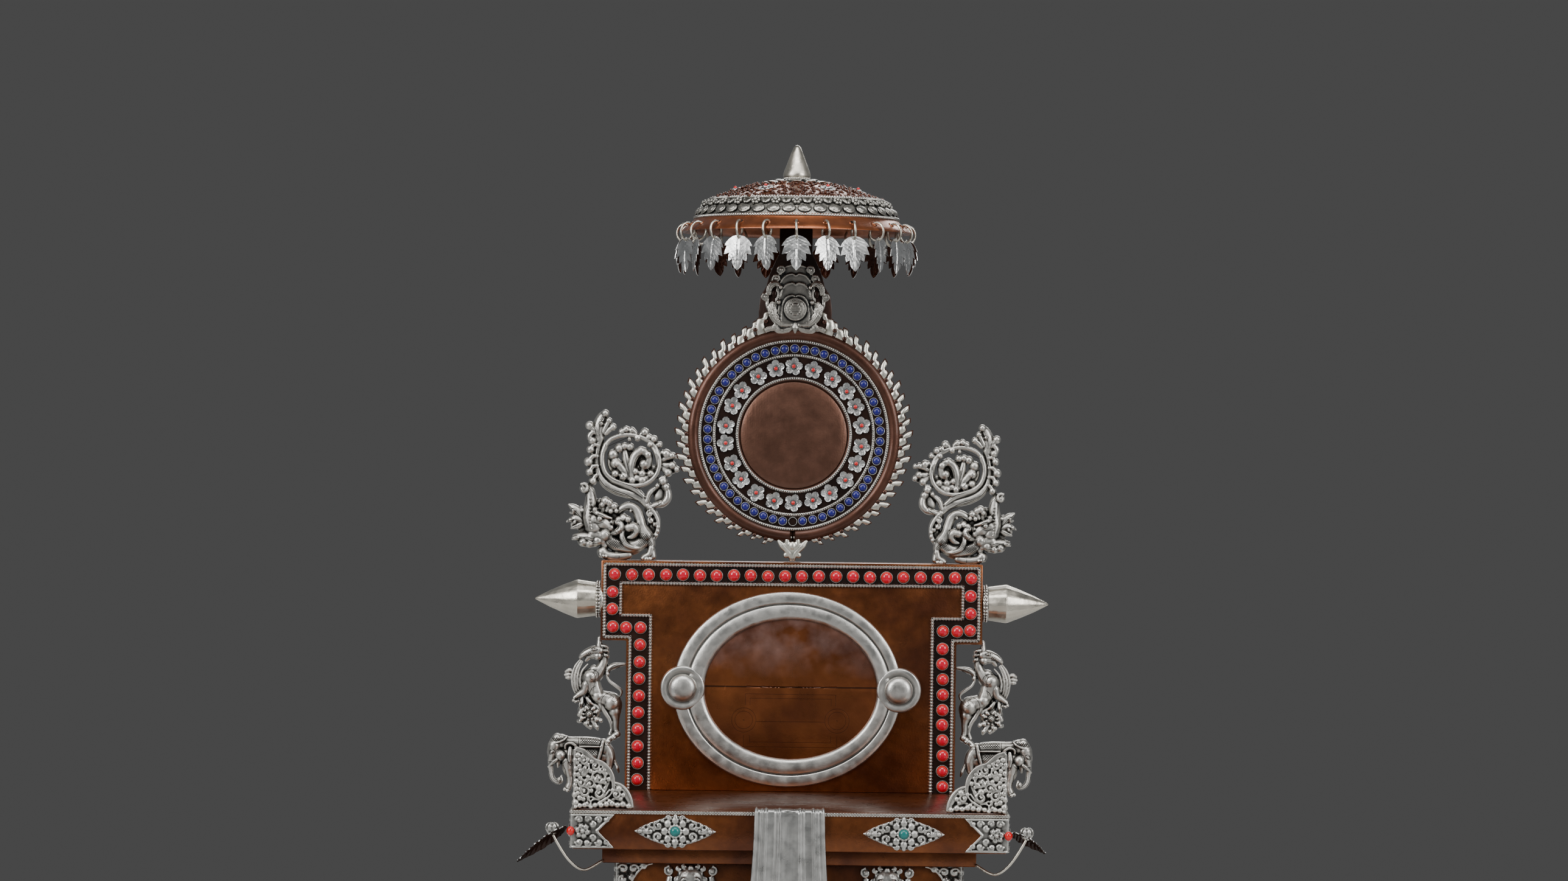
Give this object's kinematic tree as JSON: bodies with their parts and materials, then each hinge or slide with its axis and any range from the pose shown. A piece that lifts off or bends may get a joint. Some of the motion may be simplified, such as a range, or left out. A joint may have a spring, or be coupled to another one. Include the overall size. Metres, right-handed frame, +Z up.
{
  "type": "statue throne with parasol",
  "caption": "Waisted copper throne for a small temple statue, with a jewelled back panel, silver beasts at its sides, a flaming halo and a parasol hung with leaves",
  "frame": {"origin": "middle of the underside of the plinth", "axes": "+Z up, the front toward -Y, +X to the right as seen from the front"},
  "size_m": [0.341, 0.2617, 0.5456],
  "materials": {
    "patinated_copper": "brown patina, satin",
    "chased_silver": "chased and oxidised in the recesses",
    "coral": "polished cabochons between beaded silver wires",
    "lapis": "polished cabochons between beaded silver wires",
    "turquoise": "polished cabochons"
  },
  "bodies": {
    "root": {"back_panel": "patinated_copper", "bolster_end_left": "chased_silver", "bolster_end_right": "chased_silver", "coral_border": "coral", "corner_crest_left": "chased_silver", "corner_crest_right": "chased_silver", "corner_leaf_left": "chased_silver", "corner_leaf_right": "chased_silver", "corner_mount_left": "chased_silver", "corner_mount_right": "chased_silver", "elephant_left": "chased_silver", "elephant_right": "chased_silver", "front_drape": "chased_silver", "front_plaque_left": "chased_silver", "front_plaque_right": "chased_silver", "halo_plate": "patinated_copper", "jewel_crest": "chased_silver", "jewelled_ring": "lapis", "leaf_pendant_01": "chased_silver", "leaf_pendant_02": "chased_silver", "leaf_pendant_03": "chased_silver", "leaf_pendant_04": "chased_silver", "leaf_pendant_05": "chased_silver", "leaf_pendant_06": "chased_silver", "leaf_pendant_07": "chased_silver", "leaf_pendant_08": "chased_silver", "leaf_pendant_09": "chased_silver", "leaf_pendant_10": "chased_silver", "leaf_pendant_11": "chased_silver", "leaf_pendant_12": "chased_silver", "leaf_pendant_13": "chased_silver", "leaf_pendant_14": "chased_silver", "leaf_pendant_15": "chased_silver", "leaf_pendant_16": "chased_silver", "leaf_pendant_17": "chased_silver", "leaf_pendant_18": "chased_silver", "leaf_pendant_19": "chased_silver", "leaf_pendant_20": "chased_silver", "leaf_pendant_21": "chased_silver", "leaf_pendant_22": "chased_silver", "leaf_pendant_23": "chased_silver", "leaf_pendant_24": "chased_silver", "leogryph_left": "chased_silver", "leogryph_right": "chased_silver", "makara_left": "chased_silver", "makara_right": "chased_silver", "oval_boss_left": "chased_silver", "oval_boss_right": "chased_silver", "oval_frame": "chased_silver", "parasol_band": "chased_silver", "parasol_canopy": "patinated_copper", "parasol_finial": "chased_silver", "plinth": "patinated_copper", "seat_bead_border": "chased_silver", "seat_tray": "patinated_copper", "waist": "patinated_copper", "waist_corner_left": "chased_silver", "waist_corner_right": "chased_silver", "waist_lion_left": "chased_silver", "waist_lion_right": "chased_silver"}
  },
  "joints": []
}
